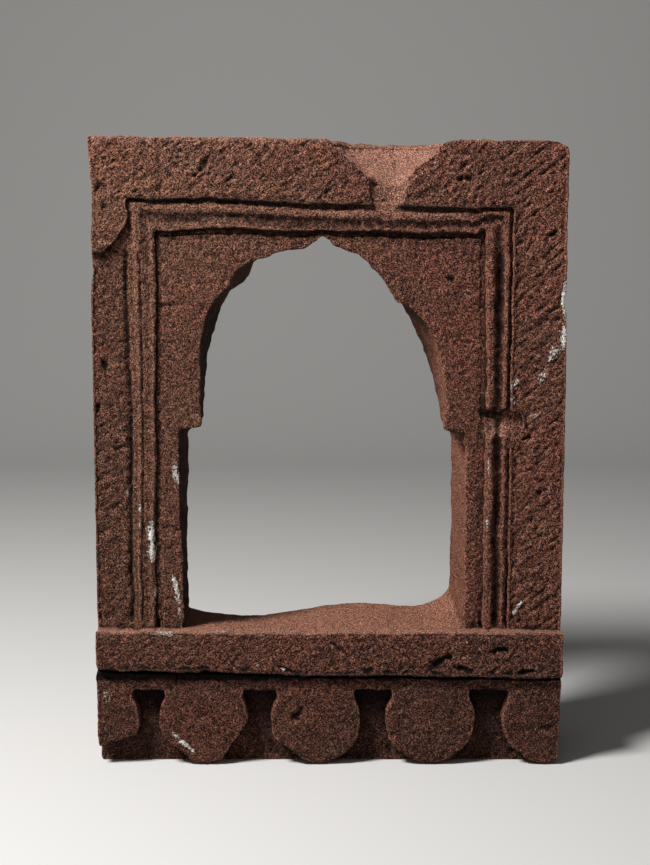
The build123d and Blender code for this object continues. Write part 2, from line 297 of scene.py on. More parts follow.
def between(value, low, high):
    """Whether each value lies between the two."""
    return (value > low) & (value < high)


def soft_line(distance, half_width):
    """1 on a line, 0 beyond about twice the half width."""
    return np.exp(-((distance / half_width) ** 2))


def turned(points, degrees):
    """The points turned in the carved face's plane, so that the first axis runs up to the right."""
    a = math.radians(degrees)
    along = points[:, 0] * math.cos(a) + points[:, 2] * math.sin(a)
    across = -points[:, 0] * math.sin(a) + points[:, 2] * math.cos(a)
    return np.stack([along, points[:, 1], across], axis=1)


def inside_spot(points, x, z, half_x, half_z, degrees=0.0):
    """1 in the middle of an oval spot of the carved face, 0 at its edge, and less outside."""
    middle = np.array([x, 0.0, z])
    local = turned(points - middle, degrees)
    return 1.0 - np.sqrt((local[:, 0] / half_x) ** 2 + (local[:, 2] / half_z) ** 2)


def by_spot(p, x, z, reach_x, reach_z, ahead_of):
    """The indices of the points near a spot of the carved face, ahead of a given depth."""
    close = (abs(p[:, 0] - x) < reach_x) & (abs(p[:, 2] - z) < reach_z)
    return np.nonzero(close & (p[:, 1] < ahead_of))[0]


class Skin:
    """A mesh's corners and edges as arrays, in millimetres."""

    def __init__(self, mesh):
        count = len(mesh.vertices)
        co = np.empty(count * 3, dtype=np.float32)
        mesh.vertices.foreach_get("co", co)
        self.points = co.reshape(-1, 3).astype(np.float64) / MM
        normals = np.empty(count * 3, dtype=np.float32)
        mesh.vertex_normals.foreach_get("vector", normals)
        self.normals = normals.reshape(-1, 3).astype(np.float64)
        edges = np.empty(len(mesh.edges) * 2, dtype=np.int32)
        mesh.edges.foreach_get("vertices", edges)
        edges = edges.reshape(-1, 2)
        self.ends = np.concatenate([edges[:, 0], edges[:, 1]])
        self.others = np.concatenate([edges[:, 1], edges[:, 0]])
        self.degree = np.bincount(self.ends, minlength=count)

    def spread(self, values, times):
        """The values averaged over neighbouring corners, a number of times."""
        count = len(self.degree)
        for _ in range(times):
            columns = [
                np.bincount(self.ends, weights=values[self.others, c], minlength=count) / self.degree
                for c in range(values.shape[1])
            ]
            values = 0.5 * values + 0.5 * np.stack(columns, axis=1)
        return values


def fine_copy(node):
    """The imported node's mesh, joined up and remeshed in small even squares."""
    mesh = node.data.copy()
    piece = bpy.data.objects.new("sandstone_frame", mesh)
    bpy.context.scene.collection.objects.link(piece)
    weld = piece.modifiers.new("weld", "WELD")
    weld.merge_threshold = 1e-6
    remesh = piece.modifiers.new("remesh", "REMESH")
    remesh.mode = "VOXEL"
    remesh.voxel_size = VOXEL * MM
    return piece


def settle(piece):
    """Applies the piece's modifiers to its mesh."""
    graph = bpy.context.evaluated_depsgraph_get()
    mesh = bpy.data.meshes.new_from_object(piece.evaluated_get(graph))
    piece.modifiers.clear()
    old = piece.data
    piece.data = mesh
    bpy.data.meshes.remove(old)
    return piece


class Places:
    """How far each corner belongs to each kind of face, from 0 to 1."""

    def __init__(self, p, n):
        x, y, z = p.T
        self.front = ramp(-n[:, 1], 0.45, 0.85)
        self.back = ramp(n[:, 1], 0.45, 0.85)
        other = (1 - self.front) * (1 - self.back)
        self.inside = other * (between(x, OPENING_LEFT, OPENING_RIGHT) & between(z, SILL - 12, ARCH_TOP))
        self.foot = other * ramp(-n[:, 2], 0.5, 0.85) * (z < 4)
        self.top = other * ramp(n[:, 2], 0.4, 0.8) * (z > HIGH[2] - 12)
        in_scar = between(x, -12, 84) & between(z, 352, HIGH[2] - 4) & between(y, BORDER_FACE + 0.8, 30)
        self.scar = in_scar * (1 - self.back) * ramp(z, 350, 362)
        self.sides = np.clip(other - self.inside - self.foot - self.top - self.scar, 0.0, 1.0)

        # The parts of the front: the panel, the bosses, the borders, the moulding and the ledge
        self.panel = self.front * (y > BORDER_FACE + 2.4) * (z > SILL)
        self.bosses = self.front * (z < 60)
        left = ramp(-x, -MOULDING_LEFT - 1, -MOULDING_LEFT + 2)
        self.left_border = self.front * left * ramp(z, 88, 94)
        self.left_border *= ramp(z, 335, 325) * (y > BORDER_FACE + 1.2)
        moulded = (x < MOULDING_LEFT + 18) | (x > 97) | (z > 342)
        self.moulding = self.front * moulded * between(y, BORDER_FACE + 0.3, BORDER_FACE + 6.5) * (z > SILL)
        self.moulding *= between(x, MOULDING_LEFT, MOULDING_RIGHT) & (z < 362)
        self.upright = (x < MOULDING_LEFT + 17) | (x > 99)
        above = ramp(z, 360, 372)
        self.right_border = (x > MOULDING_RIGHT + 1) * (1 - above) + above * ramp(x, 100, 134)
        self.right_border *= self.front * ramp(z, 88, 94)
        self.ledge = self.front * between(z, LEDGE_FOOT, SILL + 0.6)
        self.tooled = self.front * (1 - self.panel) * (1 - self.bosses) * (1 - self.moulding)


def uneven_lines(p):
    """A small shift to and fro, across and up, so that no cut line stays quite straight."""
    x, z = p[:, 0], p[:, 2]
    inner_x = ramp(np.minimum(x - LOW[0], HIGH[0] - x), 1.0, 9.0)
    inner_z = ramp(np.minimum(z - LOW[2], HIGH[2] - z), 2.5, 9.0)
    flat = p * np.array([1.0, 0.35, 1.0])
    round_scar = ramp(np.hypot(x - (SCAR_X + 2), (z - (SCAR_Z + 1)) * 1.4), 48, 26)
    round_spall = ramp(np.hypot(x + 138, z - 338), 26, 14)
    extra = 1.0 + 1.8 * round_scar + 1.4 * round_spall
    shift_x = 0.65 * noise(flat, 19.0, 1) + extra * (0.40 * noise(flat, 6.5, 2) + 0.30 * noise(flat, 3.0, 30))
    shift_z = 0.65 * noise(flat, 19.0, 3) + extra * (0.40 * noise(flat, 6.5, 4) + 0.30 * noise(flat, 3.0, 31))
    shift_x += 2.2 * round_scar * noise(flat, 11.0, 32)
    shift_z += 2.2 * round_scar * noise(flat, 11.0, 33)

    # The arch's upper arris wanders most
    shift_z *= 1.0 + 0.8 * ramp(abs(z - 320), 26, 18) * ramp(abs(x), 100, 90)
    return shift_x * inner_x, shift_z * inner_z


def measured_lines(p):
    """How far the stone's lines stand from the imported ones, across and up."""
    x, y, z = p[:, 0], p[:, 1], p[:, 2]
    near_face = ramp(y, -12, -20)

    # The block's own sides
    levels, at_left, at_right = zip(*SIDE_INSETS)
    inset = np.interp(z, levels, at_left) * ramp(x, -122, -148)
    inset = inset - np.interp(z, levels, at_right) * ramp(x, 122, 148)

    # The ledge and what lies under it, the top over the scar, the arch's point, the break's upper edge
    lift = (0.8 + 1.7 * ramp(-y, 33, 44)) * ramp(z, LEDGE_FOOT, 84) * ramp(z, 125, 92)
    under_ledge = ramp(z, 54, 61) * ramp(z, 80, 66) * ramp(-y, 28, 36)
    lift += under_ledge * (0.3 + 1.3 * ramp(x, -20, -120) + 0.5 * ramp(x, 40, 120))
    lift -= 1.6 * ramp(x, 4, 26) * ramp(x, 84, 58) * ramp(z, 378, 396)
    lift += 2.0 * ramp(np.hypot(x + 3.65, z - 338), 13, 3)
    lift -= 3.5 * near_face * ramp(np.hypot((x - (BREAK_X + 1)) / 1.2, z - 236), 16, 6)

    # The moulding, the left jamb's front and back arrises, and the foot of the right shoulder
    lean_x, lean_z = moulding_lean(x, z)
    lean_x += 2.0 * peak(x, -108, -95, -80) * ramp(z, 190, 110) * ramp(z, 86, 92)
    inset += near_face * lean_x
    lift += near_face * lean_z
    at_back = ramp(z, 120, 200) * ramp(z, 217, 208) * ramp(y, -5, 20)
    inset += 1.8 * peak(x, -104, -89, -74) * at_back
    by_foot = ramp(np.hypot(x - 86, z - 217), 17, 5)
    inset -= 1.6 * by_foot
    lift -= 2.1 * by_foot
    return inset, lift


def cut_lines_by_hand(p):
    """The points moved in the face's plane, so that the cut lines run as a mason leaves them."""
    shift_x, shift_z = uneven_lines(p)
    inset, lift = measured_lines(p)
    return p + np.stack([shift_x + inset, np.zeros(len(p)), shift_z + lift], axis=1)


def widened(value, centre, half, amount):
    """Shifts that widen what lies about the centre, or narrow it where the amount is negative."""
    t = (value - centre) / half
    return amount * t * np.exp(-t * t)


def moulding_lean(x, z):
    """How the moulding's lines stand from the packed, quite straight ones."""
    # The left leg's three lines
    levels, outer, middle, inner = zip(*LEFT_LEG)
    lean_x = np.interp(z, levels, outer) * peak(x, -134, LEFT_OUTER, LEFT_MIDDLE)
    lean_x += np.interp(z, levels, middle) * peak(x, LEFT_OUTER, LEFT_MIDDLE, LEFT_INNER)
    lean_x += np.interp(z, levels, inner) * peak(x, LEFT_MIDDLE, LEFT_INNER, -98)
    lean_x += widened(x, LEFT_MIDDLE, 3.0, 1.5) + widened(x, LEFT_INNER, 2.6, -1.4)

    # The bead on the right leg
    levels, bead = zip(*RIGHT_LEG)
    by_side = np.interp(x, [92, RIGHT_INNER, RIGHT_BEAD, RIGHT_COVE, 109], [0, 0.4, 1, 0.3, 0])
    lean_x += np.interp(z, levels, bead) * by_side
    lean_x += widened(x, RIGHT_OUTER, 2.6, -1.1)

    # The run over the arch: its inner line, and the outer one at the left
    across, inner = zip(*TOP_RUN)
    by_level = np.interp(z, [332, TOP_INNER - 2.3, TOP_INNER + 2.3, TOP_MIDDLE, 365], [0, 0.8, 1, 0.3, 0])
    lean_z = np.interp(x, across, inner) * by_level
    lean_z += widened(z, TOP_INNER, 3.0, -1.4) * ramp(x, -115, -108) * ramp(x, 101, 95)
    by_level = np.interp(z, [357, 361.5, 363.5, 371], [0, 1, 1, 0])
    lean_z += np.interp(x, [-132, -126, -90, -60, -35, 0], [0.0, 0.5, 2.0, 2.3, 0.9, 0.0]) * by_level
    return lean_x * ramp(z, 86, 92) * ramp(z, 366, 352), lean_z


def worn(skin, p, normal, at):
    """Wears the arrises down, more in some places than in others."""
    soft = skin.spread(p, 12)
    bulge = ((soft - p) * normal).sum(1)
    wear = 0.30 + 0.70 * ramp(layered(p, 12.0, 5, 2), -0.5, 0.6)
    wear *= 1.0 - 0.55 * at.moulding
    p = p + normal * (np.minimum(bulge, 0.0) * wear)[:, None]

    # The moulding is run down, most at its upper left
    x, z = p[:, 0], p[:, 2]
    run_down = 0.20 + 0.30 * ramp(noise(p, 24.0, 35), -0.3, 0.5)
    run_down = run_down + 0.4 * ramp(x, -90, -108) * ramp(z, 330, 300)
    p = p + (soft - p) * (at.moulding * run_down)[:, None]

    # Some of the legs' grooves are nearly filled
    blurred = skin.spread(p, 80)
    packed_x = skin.points[:, 0]
    legs = at.front * ramp(z, 90, 98) * ramp(z, 344, 330)
    fill = soft_line(packed_x - LEFT_INNER, 3.4) * 0.78
    fill += soft_line(packed_x - RIGHT_INNER, 2.6) * 0.80
    fill += soft_line(packed_x - RIGHT_OUTER, 2.2) * 0.45 * ramp(z, 250, 200)
    fill = np.clip(legs * fill * (1.0 + 0.5 * noise(p, 20.0, 36)), 0.0, 0.95)
    p = p + (blurred - p) * fill[:, None]

    # The upper front arris, and the ground of the scar
    arris = ramp(z, 391, 399) * ramp(-p[:, 1], 16, 24) * ramp(noise(p, 15.0, 37), -0.7, 0.4)
    p = p + (blurred - p) * (0.30 * arris)[:, None]
    blend = ramp(np.hypot((x - SCAR_X) / 1.35, z - SCAR_Z), 36, 24) * ramp(z, 350, 358)
    blend *= 0.60 + 0.35 * ramp(noise(p, 13.0, 34), -0.4, 0.5)
    return p + (blurred - p) * blend[:, None]


def relief(p, at, packed_x):
    """How deep each corner sinks below the face that it was cut on."""
    slanted = turned(p, TOOLING_SLANT)
    fine = noise(slanted, (3.2, 2.2, 1.7), 6)
    lumps = noise(p, 2.2, 21)
    grain = noise(p, 1.4, 8)
    nicks = np.maximum(0.0, noise(slanted, (5.5, 4.0, 2.0), 7) - 0.28)
    nicks += 0.8 * np.maximum(0.0, noise(slanted, (10.0, 5.0, 2.4), 10) - 0.40)
    swell = layered(p, 26.0, 9)
    uneven = noise(p, 8.0, 12)
    dents = noise(p, 4.6, 13)
    punched = np.maximum(0.0, noise(p, 3.4, 16) - 0.25)

    # The tooled border and ledge, and the plainer panel and bosses
    plain = at.front * (1 - at.moulding) - at.tooled
    depth = at.tooled * (
        0.60 * (1 - fine) + 0.34 * (1 - grain) + 1.3 * (1 - 0.5 * at.ledge) * nicks + 0.36 * (1 + dents)
    )
    depth += at.tooled * (0.24 * (1 + uneven) + 0.22 * (1 + swell))
    depth += plain * (0.42 * (1 - lumps) + 0.34 * (1 - grain) + 0.9 * punched + 0.4 * nicks)
    depth += plain * (0.22 * (1 + uneven) + 0.22 * (1 + swell))

    # Steep strokes on the right border, and flat furrows where the left one has split away
    hatching = noise(turned(p, 42), (13.0, 6.0, 3.6), 26)
    depth += at.right_border * (0.44 * (1 + hatching) + 0.3 * nicks)
    furrows = noise(turned(p, 14), (13.0, 6.0, 4.4), 20)
    depth += at.left_border * (0.50 * (1 + furrows) + 0.35 * (1 + noise(p, 6.0, 22)) + 0.9 * nicks)

    # The moulding is drawn out along its run, and some lines are cut deeper on its legs
    drawn = np.where(at.upright, noise(p, (2.4, 2.4, 11.0), 27), noise(p, (11.0, 2.4, 2.4), 28))
    depth += at.moulding * (
        0.34 * (1 + drawn) + 0.34 * (1 - lumps) + 0.26 * (1 - grain) + 0.30 * (1 + dents)
    )
    low_leg = at.front * ramp(p[:, 2], 88, 96) * ramp(p[:, 2], 336, 322)
    for line, shift, half_width, deep, varied, cell, seed in LEG_LINES:
        cut = deep + varied * noise(p, (30.0, 30.0, cell), seed)
        depth += low_leg * soft_line(packed_x - line - shift, half_width) * cut

    # The reveals and the sill, and the scar
    depth += at.inside * (0.14 * (1 + grain) + 0.22 * (1 + uneven) + 0.3 * (1 + swell) + 0.3 * punched)
    jagged = 0.40 * (1 + noise(p, (9.0, 20.0, 9.0), 23)) + 0.35 * (1 + noise(p, (3.6, 12.0, 3.6), 25))
    above_sill = ramp(p[:, 2], SILL + 6, SILL + 20)
    depth += at.inside * above_sill * (0.4 + 0.9 * ramp(p[:, 2], 210, 225)) * jagged
    depth += at.scar * (
        0.26 * (1 + grain) + 0.24 * (1 + lumps) + 0.5 * (1 + noise(p, 11.0, 24)) + 0.4 * punched
    )

    # The hewn back
    hewn = np.maximum(0.0, noise(turned(p, 62), (17.0, 16.0, 5.5), 14) + 0.1)
    depth += at.back * (
        2.0 * hewn + 0.35 * (1 + uneven) + 0.35 * (1 + swell) + 0.5 * punched + 0.12 * (1 + grain)
    )

    # The sides, with strokes behind their front arrises
    depth += at.sides * (
        0.5 * nicks + 0.20 * (1 + uneven) + 0.30 * (1 + swell) + 0.5 * punched + 0.2 * (1 + lumps)
    )
    behind_arris = ramp(p[:, 1], -28, -18)
    outer_side = at.sides * ramp(abs(p[:, 0]), 138, 144) * behind_arris
    strokes = noise(turned(p[:, [1, 0, 2]], 58), (15.0, 14.0, 4.6), 78)
    depth += outer_side * (1.5 * np.maximum(0.0, strokes + 0.05) + 0.6 * nicks)
    ragged = 0.28 * (1 + noise(p, (9.0, 30.0, 9.0), 72)) + 0.18 * (1 + noise(p, (3.4, 14.0, 3.4), 73))
    depth += at.sides * ragged

    # The top, the same way
    depth += at.top * (
        0.5 * nicks + 0.20 * (1 + uneven) + 0.25 * (1 + swell) + 0.5 * punched + 0.2 * (1 + lumps)
    )
    strokes = noise(turned(p[:, [0, 2, 1]], 50), (14.0, 12.0, 4.6), 79)
    depth += at.top * behind_arris * 1.2 * np.maximum(0.0, strokes)
    ragged = 0.60 * (1 + noise(p, (8.0, 40.0, 8.0), 74)) + 0.35 * (1 + noise(p, (3.2, 16.0, 3.2), 75))
    depth += at.top * ragged

    # The foot stays nearly flat
    depth += at.foot * (0.10 * (1 + uneven) + 0.10 * (1 + grain))
    return depth


def pitted(p):
    """The depth of the single pits and chips of the carved face."""
    depth = np.zeros(len(p))
    for x, z, half_long, half_wide, deep, degrees in PITS:
        reach = 1.6 * max(half_long, half_wide)
        near = by_spot(p, x, z, reach, reach, PANEL_FACE + 8)
        spot = p[near]
        share = inside_spot(spot, x, z, half_long, half_wide, degrees)
        share = share + 0.42 * noise(spot, 2.0, 40) + 0.30 * noise(spot, 4.5, 41)
        depth[near] = np.maximum(depth[near], 0.85 * deep * ramp(share, -0.20, 0.85))
    return depth


def lime_on(p, normal):
    """How thick the old lime lies, from 0 to 1: on faces that look forwards and on the ledge's arris."""
    amount = np.full(len(p), -1.0)
    for x, z, half_x, half_z, strength, degrees in LIME:
        reach = 2 * max(half_x, half_z) + 3
        near = by_spot(p, x, z, reach, reach, PANEL_FACE + 6 if z > SILL + 2 else LEDGE_BACK)
        share = 1.12 * strength * ramp(inside_spot(p[near], x, z, half_x, half_z, degrees), -0.45, 0.55)
        amount[near] = np.maximum(amount[near], share)
    on_ledge = (p[:, 2] > SILL - 4) & (p[:, 1] < LEDGE_BACK)
    facing = np.maximum(ramp(-normal[:, 1], -0.1, 0.3), on_ledge)
    return np.clip(amount, 0.0, 1.0) * facing


def fresh_on(p):
    """Where the paler stone shows."""
    amount = np.zeros(len(p))
    for x, z, half_x, half_z in FRESH:
        near = by_spot(p, x, z, 3 * half_x, 3 * half_z, PANEL_FACE + 6)
        share = inside_spot(p[near], x, z, half_x, half_z)
        amount[near] = np.maximum(amount[near], ramp(share, -0.5, 0.6))
    return amount


def dust_on(p, at):
    """How far olive-brown dust hides the red: most at the left, in the ledge's hollows and on its top."""
    x, y, z = p.T
    dust = 0.12 + 0.55 * ramp(x, 60, -80) * ramp(z, 70, 100)
    dust = dust + 0.35 * noise(p, 30.0, 60) + 0.2 * noise(p, 9.0, 61)
    dust += 0.6 * ramp(y, -43.5, -41.5) * (y < -36) * between(z, 56, LEDGE_FOOT + 2)
    dust += 0.5 * between(z, SILL - 3, SILL + 2) * (y < BORDER_FACE) * ((x < -93) | (x > 85))
    dust += 0.35 * at.moulding * ramp(x, 60, -80)
    dust += 0.8 * ramp(inside_spot(p, BREAK_X, 216, 14, 9), 0.0, 0.5) * (y < BORDER_FACE + BREAK_REACH)
    return np.clip(dust, 0.0, 1.0)


def shaded_reveal(p, at):
    """1 on the left reveal, which the light doesn't reach; it is darkened there as painted shade."""
    return at.inside * ramp(p[:, 0], -60, -75) * ramp(p[:, 2], SILL + 1, SILL + 6)


def front_darkening_on(p, at, patchy):
    """How much the front is darkened: a little above the sill, a bit more on the panel and the left border,
    most below the sill, more again among the bosses, and in patches.
    """
    low = 0.30 + 0.08 * (p[:, 2] < BOSS_TOP) + 0.10 * patchy
    high = 0.08 + 0.12 * at.panel + 0.10 * at.left_border
    return at.front * np.where(p[:, 2] < SILL - 1, low, high)


def dirt_and_shade_on(p, normal, at, wide_hump, pit):
    """How much painted shade lies, from 0 to 1: in wide hollows and deep pits, between the bosses, under the
    ledge, on faces that look down and on the left reveal, with painted shadows under the break and at the
    scar, and a darkening over the front.
    """
    y, z = p[:, 1], p[:, 2]
    patchy = noise(p, 7.0, 62)
    # Painted shade in wide hollows and in the deep pits
    dirt_and_shade = np.maximum(0.7 * ramp(wide_hump, -1.0, -4.5), 0.92 * ramp(pit, 0.9, 2.4) * (z < 380))
    # Painted shade between the bosses, darkest at the top under the fillet
    recess = at.front * (z < BOSS_TOP) * (y > BORDER_FACE - 4)
    dirt_and_shade = np.maximum(dirt_and_shade, recess * (0.52 + 0.34 * ramp(z, 24, 50) + 0.12 * patchy))
    dirt_and_shade = np.maximum(dirt_and_shade, front_darkening_on(p, at, patchy))
    # Painted shadow in a band under the ledge
    under = between(y, -42.9, -20) * ramp(z + 1.5 * noise(p, 5.0, 65), 55.4, 57.2) * ramp(z, 67.0, 65.5)
    dirt_and_shade = np.maximum(dirt_and_shade, under * (0.97 + 0.1 * patchy))
    # Painted shade on faces that look down
    dirt_and_shade = np.maximum(dirt_and_shade, 0.6 * ramp(-normal[:, 2], 0.3, 0.7) * (z > 5))

    # Painted shadow under the break's upper edge and on the scar's left edge
    break_shadow = ramp(inside_spot(p, BREAK_X - 2, 227.0, 11, 4.0) + 0.5 * noise(p, 3.0, 63), 0.0, 0.6)
    dirt_and_shade = np.maximum(dirt_and_shade, 0.9 * (break_shadow * (y < BORDER_FACE + BREAK_REACH)))
    scar_edge_shadow = ramp(inside_spot(p, 23, 384.5, 8.5, 3.6, -52) + 0.5 * noise(p, 3.0, 68), 0.0, 0.8)
    dirt_and_shade = np.maximum(dirt_and_shade, 0.8 * scar_edge_shadow * (y < BORDER_FACE + 10))
    # Painted shade on the left reveal
    dirt_and_shade = np.maximum(dirt_and_shade, shaded_reveal(p, at) * (0.55 + 0.2 * patchy))
    return np.clip(dirt_and_shade, 0.0, 1.0)


def numbers_on(skin, p, normal, at, lime, pit):
    """What the material reads: hollows and humps of three sizes, what lies on each kind of face, and painted
    shade, shadows and light.
    """
    near_mean = skin.spread(p, 3)
    far_mean = skin.spread(near_mean, 24)
    wide_mean = skin.spread(far_mean, 90)
    near_scar = ramp(np.hypot((p[:, 0] - SCAR_X) / 1.6, p[:, 2] - SCAR_Z), 34, 22)
    near_scar *= p[:, 1] > BORDER_FACE + 2
    wide_hump = ((p - wide_mean) * normal).sum(1)
    upward = ramp(normal[:, 2], 0.3, 0.8)
    scar_ground = ramp(p[:, 1], BORDER_FACE + 0.6, BORDER_FACE + 4.0)
    ragged_scar = at.scar * ramp(noise(p, 4.0, 64) + 1.6 * scar_ground, 0.2, 1.2)
    ragged_scar = skin.spread(ragged_scar[:, None], 14)[:, 0]
    # Bare stone in the opening, paler where it faces up, partly from wear and partly as painted light from
    # above, and less on the left reveal as painted shade; and bare stone on the scar
    bare_and_lit = at.inside * (0.55 + 0.45 * upward) - 0.8 * shaded_reveal(p, at) + 0.5 * ragged_scar

    # Rubbed pale: the scar, the top, the break and the ledge's top; a painted highlight on the top's front
    # arris; and the sill and other faces of the opening that look up, paler partly from wear and partly as
    # painted light from above
    rubbed_and_lit = 0.9 * ragged_scar + 0.6 * at.top
    # Painted highlight along the top front arris, where the light from above catches it
    rubbed_and_lit += 0.85 * at.front * ramp(p[:, 2], 394, 399) * ramp(noise(p, 6.0, 66), -0.6, 0.3)
    # Faces of the opening that look up: paler, partly from wear and partly as painted light from above
    rubbed_and_lit += at.inside * upward * (0.35 + 0.35 * noise(p, (22.0, 2.6, 2.6), 76))
    in_break = ramp(inside_spot(p, BREAK_X, 217, 12, 8), 0.0, 0.5)
    rubbed_and_lit += 0.8 * in_break * (p[:, 1] < BORDER_FACE + BREAK_REACH)
    on_top = between(p[:, 2], SILL - 1.2, SILL + 5) * ramp(normal[:, 2], 0.1, 0.5)
    ledge_top = (p[:, 1] < BORDER_FACE - 1) * on_top
    rubbed_and_lit = rubbed_and_lit + ledge_top * (1.1 + 0.3 * noise(p, 8.0, 67))
    return {
        "fine_hump": ((p - near_mean) * normal).sum(1),
        "hump": ((p - far_mean) * normal).sum(1) * (1 - 0.8 * near_scar),
        "dirt_and_shade": dirt_and_shade_on(p, normal, at, wide_hump, pit),
        "lime": lime,
        "fresh": fresh_on(p),
        "dust": dust_on(p, at),
        "slant": at.tooled,
        "bare_and_lit": np.clip(bare_and_lit, 0, 1),
        "rubbed_and_lit": np.clip(rubbed_and_lit, 0, 1),
    }


def kept_in(p, low, high, edge):
    """Presses the points softly into the box, so that no flat facet forms at its faces."""
    for face, sign in ((low, 1.0), (high, -1.0)):
        room = sign * (p - face)
        pressed = edge * np.exp(np.minimum(room, edge) / edge - 1.0)
        p = np.where(room < edge, face + sign * pressed, p)
    return p


def store(mesh, name, values):
    """Keeps one number for each corner of the mesh, for the material to read."""
    layer = mesh.attributes.new(name, "FLOAT", "POINT")
    layer.data.foreach_set("value", values.astype(np.float32))


def thin_out(piece, at):
    """Thins the mesh of four-sided faces to the wanted number of triangles, least on the front."""
    detail = at.front + 0.55 * at.inside + 0.6 * at.scar + 0.4 * at.sides + 0.5 * at.top
    detail = detail + 0.28 * at.back + 0.05 * at.foot
    weights = np.clip(1.0 - 0.5 * detail, 0.0, 1.0).round(2)
    keep = piece.vertex_groups.new(name="thin_out")
    for value in np.unique(weights):
        keep.add(np.nonzero(weights == value)[0].tolist(), float(value), "REPLACE")
    thin = piece.modifiers.new("thin", "DECIMATE")
    triangles_now = 2 * len(piece.data.polygons)
    thin.ratio = TRIANGLES / triangles_now
    thin.vertex_group = "thin_out"
    thin.vertex_group_factor = THINNING_BY_LENGTH
    settle(piece)


def carve(piece):
    """Gives the remeshed stone its cut lines, wear, tool marks and pits, and what its material reads."""
    skin = Skin(piece.data)
    broad = skin.spread(skin.normals, 4)
    broad /= np.linalg.norm(broad, axis=1)[:, None]
    at = Places(skin.points, broad)
    p = cut_lines_by_hand(skin.points)
    p = worn(skin, p, broad, at)
    sunk = relief(p, at, skin.points[:, 0])
    lime = lime_on(p, broad)
    crust = LIME_THICKNESS * ramp(lime + 0.45 * noise(p, 1.6, 50), 0.45, 0.7)

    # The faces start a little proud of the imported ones, and less sinks at the foot, where the stone stands
    proud = 1.5 * at.sides + 0.75 * at.top + 0.4 * at.inside + 0.5 * at.front * (p[:, 1] > -43)
    pit = pitted(p)
    depth = sunk + pit - crust - proud
    depth *= 0.3 + 0.7 * ramp(p[:, 2], 0.0, 2.5)
    p = p - broad * depth[:, None]
    p = kept_in(p, LOW, HIGH, SOFT_EDGE)

    for name, values in numbers_on(skin, p, broad, at, lime, pit).items():
        store(piece.data, name, values)
    piece.data.vertices.foreach_set("co", (p * MM).astype(np.float32).ravel())
    piece.data.update()
    thin_out(piece, at)
    piece.data.shade_smooth()


stone = settle(fine_copy(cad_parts["carved_stone"]))
carve(stone)


class Nodes:
    """Builds a material's node tree in few words."""

    def __init__(self, name):
        self.material = bpy.data.materials.new(name)
        self.material.use_nodes = True
        self.tree = self.material.node_tree
        self.shader = self.tree.nodes["Principled BSDF"]

    def put(self, socket, value):
        """Links a socket to another, or writes a value into it."""
        if isinstance(value, bpy.types.NodeSocket):
            self.tree.links.new(value, socket)
        elif isinstance(value, tuple) and socket.type == "RGBA":
            socket.default_value = (*value, 1.0)
        else:
            socket.default_value = value

    def number(self, name):
        """The mesh's own number of that name."""
        node = self.tree.nodes.new("ShaderNodeAttribute")
        node.attribute_name = name
        return node.outputs["Fac"]

    def place(self):
        """The point on the stone."""
        return self.tree.nodes.new("ShaderNodeTexCoord").outputs["Object"]

    def slanted(self, degrees, stretch):
        """The point on the stone, for a pattern drawn out along a slant that runs up to the right."""
        node = self.tree.nodes.new("ShaderNodeMapping")
        node.vector_type = "TEXTURE"
        self.put(node.inputs["Vector"], self.place())
        self.put(node.inputs["Rotation"], (0.0, -math.radians(degrees), 0.0))
        self.put(node.inputs["Scale"], (stretch, 1.0, 1.0))
        return node.outputs["Vector"]

    def noise(self, where, scale, detail, roughness=0.5):
        """Noise from 0 to 1, at the given cells per metre."""
        node = self.tree.nodes.new("ShaderNodeTexNoise")
        self.put(node.inputs["Vector"], where)
        self.put(node.inputs["Scale"], scale)
        self.put(node.inputs["Detail"], detail)
        self.put(node.inputs["Roughness"], roughness)
        return node.outputs["Fac"]

    def math(self, operation, a, b):
        """Two numbers joined by one of Blender's operations."""
        node = self.tree.nodes.new("ShaderNodeMath")
        node.operation = operation
        self.put(node.inputs[0], a)
        self.put(node.inputs[1], b)
        return node.outputs[0]

    def ramp(self, value, start, end, low=0.0, high=1.0):
        """Low at start and high at end, smooth between them."""
        node = self.tree.nodes.new("ShaderNodeMapRange")
        node.interpolation_type = "SMOOTHSTEP"
        self.put(node.inputs["Value"], value)
        self.put(node.inputs["From Min"], start)
        self.put(node.inputs["From Max"], end)
        self.put(node.inputs["To Min"], low)
        self.put(node.inputs["To Max"], high)
        return node.outputs["Result"]

    def mix(self, share, a, b):
        """The colour a with the given share of b."""
        node = self.tree.nodes.new("ShaderNodeMix")
        node.data_type = "RGBA"
        share_socket, a_socket, b_socket = node.inputs[0], node.inputs[6], node.inputs[7]
        self.put(share_socket, share)
        self.put(a_socket, a)
        self.put(b_socket, b)
        return node.outputs[2]

    def bump(self, height, distance, normal=None):
        """A normal tilted by the height, on top of another bump where one is given."""
        node = self.tree.nodes.new("ShaderNodeBump")
        self.put(node.inputs["Height"], height)
        self.put(node.inputs["Distance"], distance)
        if normal is not None:
            self.put(node.inputs["Normal"], normal)
        return node.outputs["Normal"]


RED = (0.320, 0.103, 0.066)
PURPLE = (0.223, 0.079, 0.055)
OLIVE = (0.258, 0.122, 0.072)
# Dark that stands for grime and for painted shade
GRIME_AND_SHADE = (0.009, 0.005, 0.004)
PALE_GRAIN = (0.60, 0.270, 0.175)
# Paler stones, also used for painted light on faces that look up and for the painted highlight on the top
# arris
BARE_AND_LIT_STONE = (0.50, 0.208, 0.120)
RUBBED_AND_LIT_STONE = (0.52, 0.255, 0.180)
FRESH_STONE = (0.58, 0.22, 0.10)
LIME_WHITE = (0.88, 0.83, 0.75)

# The sand's grain in cells per metre, on plain faces and where it is drawn out along the tooling
COARSE_GRAIN, COARSE_DRAWN = 1100.0, 1260.0
FINE_GRAIN, FINE_DRAWN = 1750.0, 1950.0
DRAWN_OUT = 1.6              # how much longer it is there than it is wide

# How high the grain and the lime stand in the bumps, in metres
COARSE_BUMP, FINE_BUMP, LIME_BUMP = 0.0150, 0.0095, 0.0008


